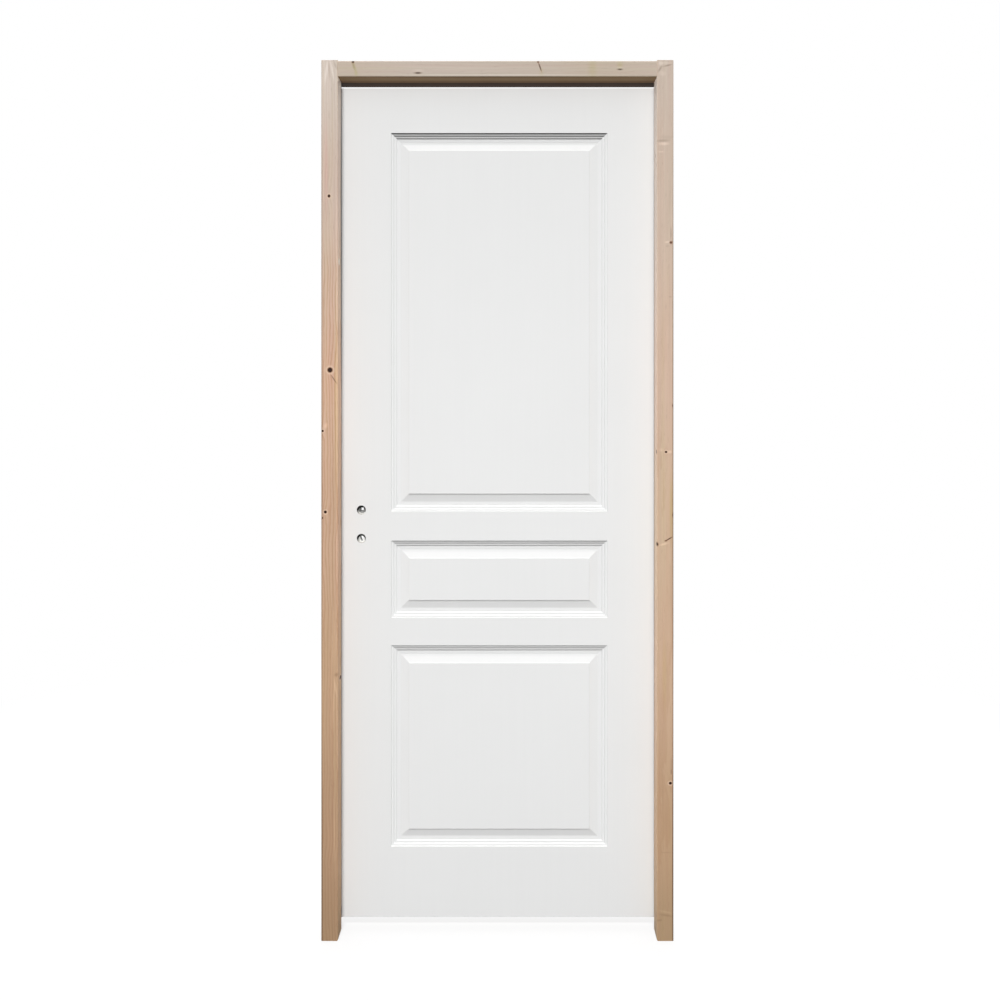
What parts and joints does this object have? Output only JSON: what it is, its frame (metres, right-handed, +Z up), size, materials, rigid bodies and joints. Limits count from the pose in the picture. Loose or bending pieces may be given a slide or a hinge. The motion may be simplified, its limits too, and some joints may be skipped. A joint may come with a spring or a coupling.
{
  "type": "prehung interior door",
  "caption": "White moulded panel door leaf, drilled for a lock and hung on hinges in a raw softwood rebated frame.",
  "frame": {"origin": "floor level on the hinge jamb's wall face, halfway through the frame's depth", "axes": "+X out of the hinge jamb towards the wall, +Y towards the side that the leaf opens to, +Z up"},
  "size_m": [0.848, 0.105, 2.12],
  "materials": {
    "white_primer": "satin",
    "raw_pine": "matte",
    "leaf_timber": "matte",
    "zinc_steel": "satin",
    "brass": "satin"
  },
  "bodies": {
    "frame": {"jamb_lock_side": "raw_pine", "jamb_hinge_side": "raw_pine", "stop_lock_side": "raw_pine", "stop_hinge_side": "raw_pine", "head_rail": "raw_pine", "strike_plate": "zinc_steel", "hinge_frame_top": "zinc_steel", "hinge_frame_middle": "zinc_steel", "hinge_frame_bottom": "zinc_steel", "hinge_washer_top": "brass", "hinge_washer_middle": "brass", "hinge_washer_bottom": "brass"},
    "leaf": {"skin_front": "white_primer", "skin_back": "white_primer", "stile_lock": "leaf_timber", "stile_hinge": "leaf_timber", "rail_top": "leaf_timber", "rail_bottom": "leaf_timber", "lock_block": "leaf_timber", "lock_case": "zinc_steel", "lock_forend": "zinc_steel", "latch_bolt": "zinc_steel", "dead_bolt": "zinc_steel", "spindle_follower": "zinc_steel", "hinge_door_top": "zinc_steel", "hinge_door_middle": "zinc_steel", "hinge_door_bottom": "zinc_steel"}
  },
  "joints": [
    {"name": "door_swing", "type": "hinge", "parent": "frame", "child": "leaf", "pos_m": [-0.03075, 0.053, 1.05], "axis": [0, 0, -1], "range_deg": [0, 180]}
  ]
}
